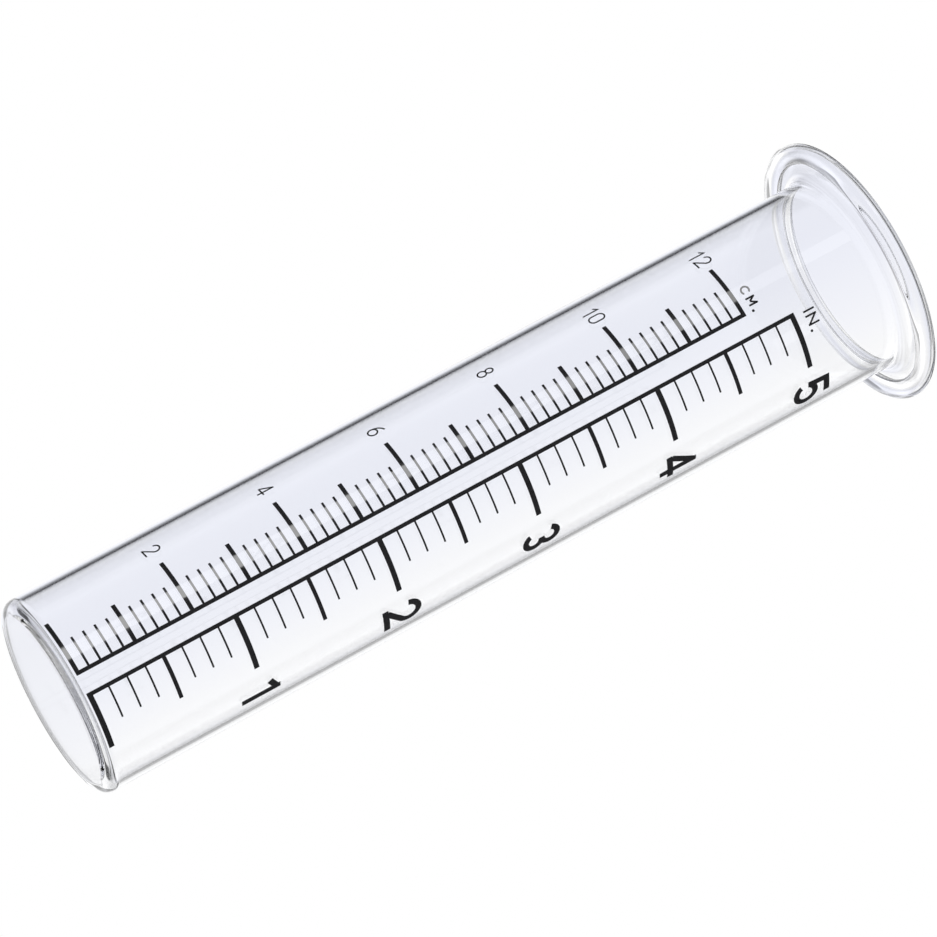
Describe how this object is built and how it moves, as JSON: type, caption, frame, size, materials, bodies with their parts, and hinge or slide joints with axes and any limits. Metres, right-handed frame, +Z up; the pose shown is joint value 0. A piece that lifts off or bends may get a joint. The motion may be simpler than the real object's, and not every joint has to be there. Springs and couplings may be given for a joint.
{
  "type": "rain gauge",
  "caption": "Clear glass rain gauge: a straight tube with a closed flat base, a flared beaded mouth and printed centimetre and inch scales.",
  "frame": {"origin": "centre of the flat base, on the plane it stands on", "axes": "+Z up the tube to the open mouth; the printed scales face -Y, +X to the reader's right"},
  "size_m": [0.0452, 0.0452, 0.1492],
  "materials": {
    "glass": "clear, fire polished",
    "print": "black fired enamel, glossy"
  },
  "bodies": {
    "root": {"glass_tube": "glass", "cm_fine_ticks": "print", "cm_long_ticks": "print", "cm_mid_ticks": "print", "cm_numeral_02": "print", "cm_numeral_04": "print", "cm_numeral_06": "print", "cm_numeral_08": "print", "cm_numeral_10": "print", "cm_numeral_12": "print", "cm_scale_line": "print", "cm_unit_label": "print", "inch_eighth_ticks": "print", "inch_half_ticks": "print", "inch_long_ticks": "print", "inch_numeral_1": "print", "inch_numeral_2": "print", "inch_numeral_3": "print", "inch_numeral_4": "print", "inch_numeral_5": "print", "inch_scale_line": "print", "inch_unit_label": "print"}
  },
  "joints": []
}
